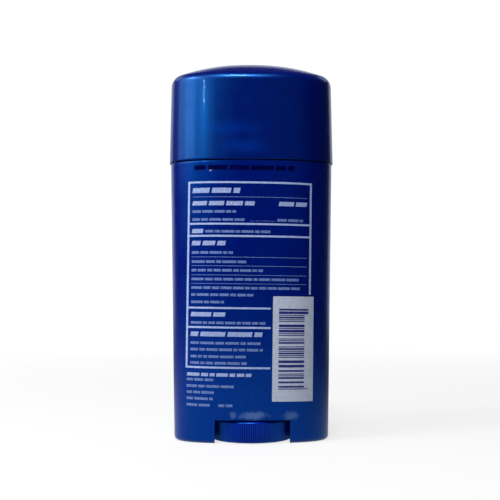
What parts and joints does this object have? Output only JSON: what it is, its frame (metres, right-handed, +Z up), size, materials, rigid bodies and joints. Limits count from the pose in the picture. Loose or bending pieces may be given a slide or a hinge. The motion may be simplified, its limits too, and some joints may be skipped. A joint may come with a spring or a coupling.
{
  "type": "deodorant stick",
  "caption": "Oval twist-up deodorant stick with a pull-off domed cap, a ribbed dial in a slot at its foot and a screw that raises the product.",
  "frame": {"origin": "centre of the foot, on the surface that the stick stands on", "axes": "+Z up along the stick and its screw, +X to the right across the wide printed back, which faces -Y"},
  "size_m": [0.0636, 0.033, 0.1445],
  "materials": {
    "barrel_blue": "pearl blue, satin gloss",
    "cap_blue": "metallic blue, gloss",
    "dial_blue": "satin blue",
    "elevator_white": "natural white, matt",
    "product_white": "white wax, matt",
    "panel_ink": "pale screen ink",
    "field_ink": "pale screen ink"
  },
  "bodies": {
    "barrel": {"barrel": "barrel_blue", "printed_panel": "panel_ink", "printed_code_field": "field_ink"},
    "cap": {"cap": "cap_blue"},
    "elevator": {"elevator": "elevator_white", "product_stick": "product_white"},
    "dial": {"dial_screw": "dial_blue"}
  },
  "joints": [
    {"name": "cap_lift", "type": "slide", "parent": "barrel", "child": "cap", "axis": [0, 0, 1], "range_m": [0, 0.06]},
    {"name": "elevator_rise", "type": "slide", "parent": "barrel", "child": "elevator", "axis": [0, 0, 1], "range_m": [-0.0455, 0.0115]},
    {"name": "dial_turn", "type": "hinge", "parent": "barrel", "child": "dial", "pos_m": [0, 0, 0], "axis": [0, 0, 1], "range_deg": [-830, 3280]}
  ],
  "couplings": [
    {"joint": "dial_turn", "follows": "elevator_rise", "rad_per_m": -1256.6}
  ]
}
